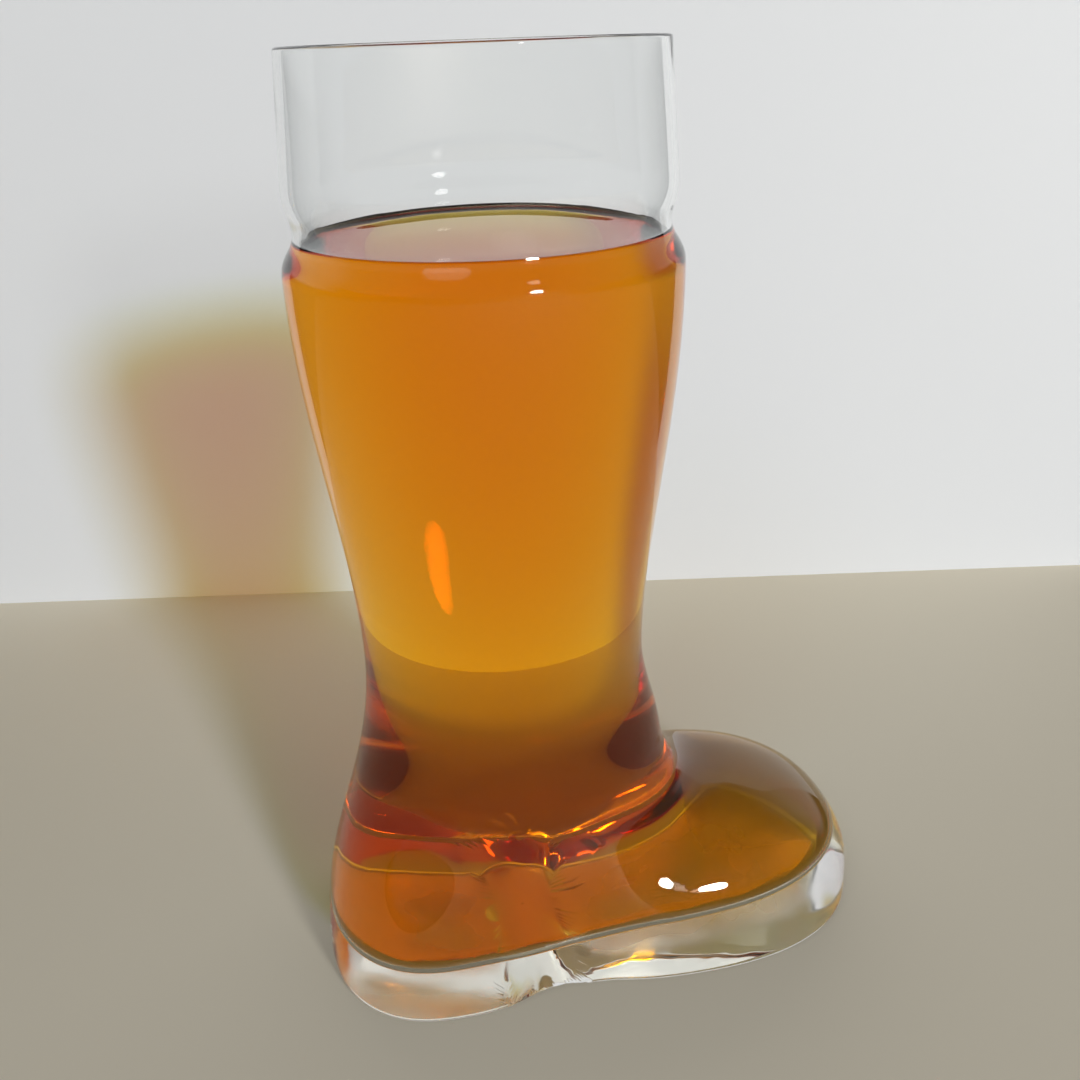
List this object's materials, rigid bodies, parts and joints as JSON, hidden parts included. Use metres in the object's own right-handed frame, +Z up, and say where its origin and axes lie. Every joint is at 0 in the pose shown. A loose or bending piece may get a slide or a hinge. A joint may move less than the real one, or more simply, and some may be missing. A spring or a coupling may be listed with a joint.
{
  "type": "boot glass",
  "caption": "Boot-shaped drinking glass with a clear cuff, a slim ankle, a domed toe and a thick sole, filled with amber drink to just under the cuff.",
  "frame": {"origin": "middle of the footprint, on the plane that the sole stands on", "axes": "+X towards the toe, +Z up along the leg, +Y to the boot's left"},
  "size_m": [0.1237, 0.0758, 0.191],
  "materials": {
    "clear_glass": "clear blown glass, fire-polished rim",
    "amber_drink": "clear amber liquid"
  },
  "bodies": {
    "root": {"boot_glass": "clear_glass", "drink": "amber_drink"}
  },
  "joints": []
}
